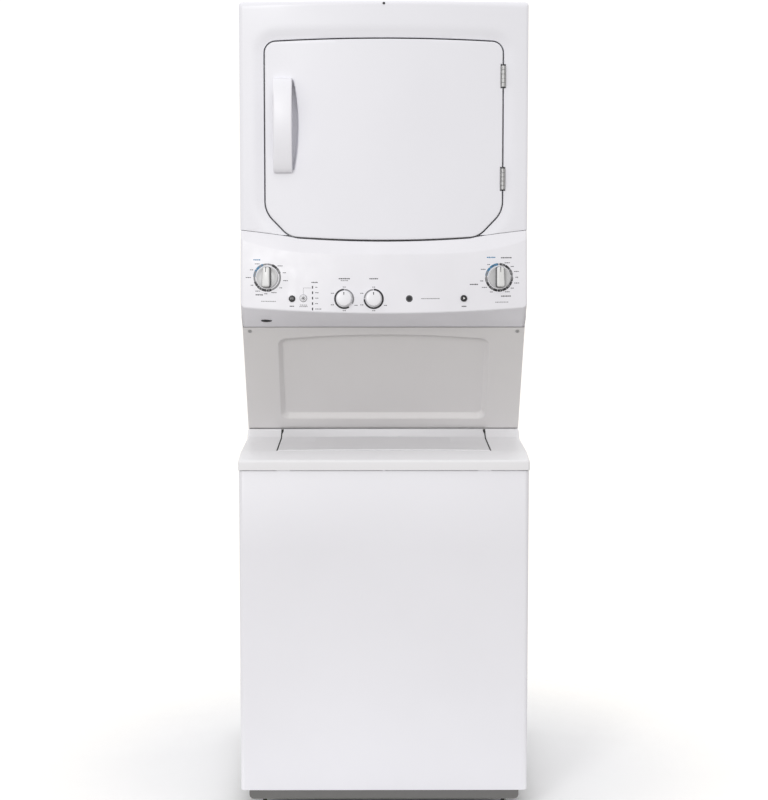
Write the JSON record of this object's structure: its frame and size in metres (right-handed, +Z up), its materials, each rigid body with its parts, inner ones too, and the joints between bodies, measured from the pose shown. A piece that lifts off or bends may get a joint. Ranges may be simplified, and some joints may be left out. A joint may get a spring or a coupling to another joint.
{
  "type": "washer dryer stack",
  "caption": "Stacked laundry centre: top-loading washer with lifting lid below, front-loading dryer with swinging door above, sloping splash panel between, knobs and buttons on a bowed console.",
  "frame": {"origin": "on the floor under the centre of the bounding box", "axes": "+X to the right seen from the front, +Y to the back, +Z up"},
  "size_m": [0.683, 0.797, 1.92],
  "materials": {
    "white_enamel": "glossy white enamel",
    "white_plastic": "satin white moulding",
    "grey_panel": "satin light grey enamel",
    "base_grey": "matt dark grey",
    "dark_plastic": "matt black",
    "tub_plastic": "matt",
    "steel": "brushed",
    "galvanised": "zinc coated",
    "rubber": "matt"
  },
  "bodies": {
    "cabinet": {"washer_cabinet": "white_enamel", "washer_front_panel": "white_enamel", "washer_top_cover": "white_enamel", "stand_frame": "white_enamel", "dryer_cabinet": "white_enamel", "dryer_top_cover": "white_enamel", "dryer_front_panel": "white_enamel", "console": "white_plastic", "water_valve": "white_plastic", "splash_panel": "grey_panel", "base_frame": "base_grey", "console_bumper": "dark_plastic", "drain_pump": "dark_plastic", "washer_motor": "dark_plastic", "dryer_motor": "dark_plastic", "outer_tub": "tub_plastic", "upper_hinge_bracket": "steel", "lower_hinge_bracket": "steel", "splash_screw_left": "steel", "splash_screw_right": "steel", "suspension_rod_front_left": "steel", "suspension_rod_front_right": "steel", "suspension_rod_rear_left": "steel", "suspension_rod_rear_right": "steel", "dryer_bulkhead": "galvanised", "dryer_base_pan": "galvanised", "drum_support": "galvanised", "blower_housing": "galvanised", "exhaust_duct": "galvanised", "terminal_cover": "galvanised", "gearcase": "galvanised", "foot_front_left": "rubber", "foot_front_right": "rubber", "foot_rear_left": "rubber", "foot_rear_right": "rubber", "washer_belt": "rubber", "drum_belt": "rubber"},
    "lid": {"washer_lid": "white_enamel"},
    "door": {"door_outer": "white_enamel", "door_liner": "white_plastic", "door_handle": "white_plastic", "upper_hinge_leaf": "steel", "lower_hinge_leaf": "steel"},
    "basket": {"wash_basket": "steel", "balance_ring": "white_plastic"},
    "agitator": {"agitator": "white_plastic"},
    "driven_pulley": {"driven_pulley": "galvanised"},
    "motor_pulley": {"motor_pulley": "galvanised"},
    "drum": {"dryer_drum": "steel"},
    "roller_left": {"drum_roller_left": "rubber"},
    "roller_right": {"drum_roller_right": "rubber"},
    "blower": {"blower_wheel": "galvanised"},
    "lint_filter": {"lint_filter": "white_plastic"},
    "washer_cycle_knob": {"washer_cycle_knob": "white_plastic"},
    "dryer_cycle_knob": {"dryer_cycle_knob": "white_plastic"},
    "temperature_knob": {"temperature_knob": "white_plastic"},
    "load_knob": {"load_knob": "white_plastic"},
    "washer_start_button": {"washer_start_button": "dark_plastic"},
    "option_button": {"option_button": "white_plastic"},
    "dryer_start_button": {"dryer_start_button": "dark_plastic"}
  },
  "joints": [
    {"name": "lid_hinge", "type": "hinge", "parent": "cabinet", "child": "lid", "pos_m": [0, -0.032, 0.866], "axis": [-1, 0, 0], "range_deg": [0, 57]},
    {"name": "door_hinge", "type": "hinge", "parent": "cabinet", "child": "door", "pos_m": [0.2806, -0.2925, 1.6], "axis": [0, 0, 1], "range_deg": [0, 120]},
    {"name": "basket_spin", "type": "hinge", "parent": "cabinet", "child": "basket", "pos_m": [0, -0.092, 0.4], "axis": [0, 0, 1], "continuous": true},
    {"name": "agitator_stroke", "type": "hinge", "parent": "basket", "child": "agitator", "pos_m": [0, -0.092, 0.4], "axis": [0, 0, 1], "range_deg": [-105, 105]},
    {"name": "driven_pulley_spin", "type": "hinge", "parent": "cabinet", "child": "driven_pulley", "pos_m": [0, -0.092, 0.186], "axis": [0, 0, 1], "continuous": true},
    {"name": "motor_pulley_spin", "type": "hinge", "parent": "cabinet", "child": "motor_pulley", "pos_m": [0.19, -0.092, 0.186], "axis": [0, 0, 1], "continuous": true},
    {"name": "drum_spin", "type": "hinge", "parent": "cabinet", "child": "drum", "pos_m": [0, 0, 1.585], "axis": [0, 1, 0], "continuous": true},
    {"name": "roller_left_spin", "type": "hinge", "parent": "cabinet", "child": "roller_left", "pos_m": [-0.19806, 0.306, 1.30215], "axis": [0, 1, 0], "continuous": true},
    {"name": "roller_right_spin", "type": "hinge", "parent": "cabinet", "child": "roller_right", "pos_m": [0.19806, 0.306, 1.30215], "axis": [0, 1, 0], "continuous": true},
    {"name": "blower_spin", "type": "hinge", "parent": "cabinet", "child": "blower", "pos_m": [0.225, 0.138, 1.255], "axis": [0, 1, 0], "continuous": true},
    {"name": "lint_filter_pull", "type": "slide", "parent": "cabinet", "child": "lint_filter", "axis": [0, 0, 1], "range_m": [0, 0.12]},
    {"name": "washer_cycle_turn", "type": "hinge", "parent": "cabinet", "child": "washer_cycle_knob", "pos_m": [-0.275, -0.31238, 1.273], "axis": [-0.1651, -0.9776, 0.1304], "continuous": true},
    {"name": "dryer_cycle_turn", "type": "hinge", "parent": "cabinet", "child": "dryer_cycle_knob", "pos_m": [0.272, -0.31288, 1.273], "axis": [0.1634, -0.9779, 0.1304], "continuous": true},
    {"name": "temperature_turn", "type": "hinge", "parent": "cabinet", "child": "temperature_knob", "pos_m": [-0.093, -0.33948, 1.224], "axis": [-0.0565, -0.9896, 0.132], "range_deg": [-135, 135]},
    {"name": "load_turn", "type": "hinge", "parent": "cabinet", "child": "load_knob", "pos_m": [-0.024, -0.34196, 1.224], "axis": [-0.0146, -0.9911, 0.1322], "range_deg": [-135, 135]},
    {"name": "washer_start_press", "type": "slide", "parent": "cabinet", "child": "washer_start_button", "axis": [0.1307, 0.9827, -0.131], "range_m": [0, 0.0025], "stiffness_N_per_m": 400},
    {"name": "option_press", "type": "slide", "parent": "cabinet", "child": "option_button", "axis": [0.1146, 0.9847, -0.1313], "range_m": [0, 0.0025], "stiffness_N_per_m": 400},
    {"name": "dryer_start_press", "type": "slide", "parent": "cabinet", "child": "dryer_start_button", "axis": [-0.114, 0.9848, -0.1313], "range_m": [0, 0.0025], "stiffness_N_per_m": 400}
  ],
  "couplings": [
    {"joint": "driven_pulley_spin", "follows": "basket_spin", "ratio": 1},
    {"joint": "motor_pulley_spin", "follows": "basket_spin", "ratio": 4.9},
    {"joint": "roller_left_spin", "follows": "drum_spin", "ratio": -8.8571},
    {"joint": "roller_right_spin", "follows": "drum_spin", "ratio": -8.8571},
    {"joint": "blower_spin", "follows": "drum_spin", "ratio": 28.182}
  ]
}
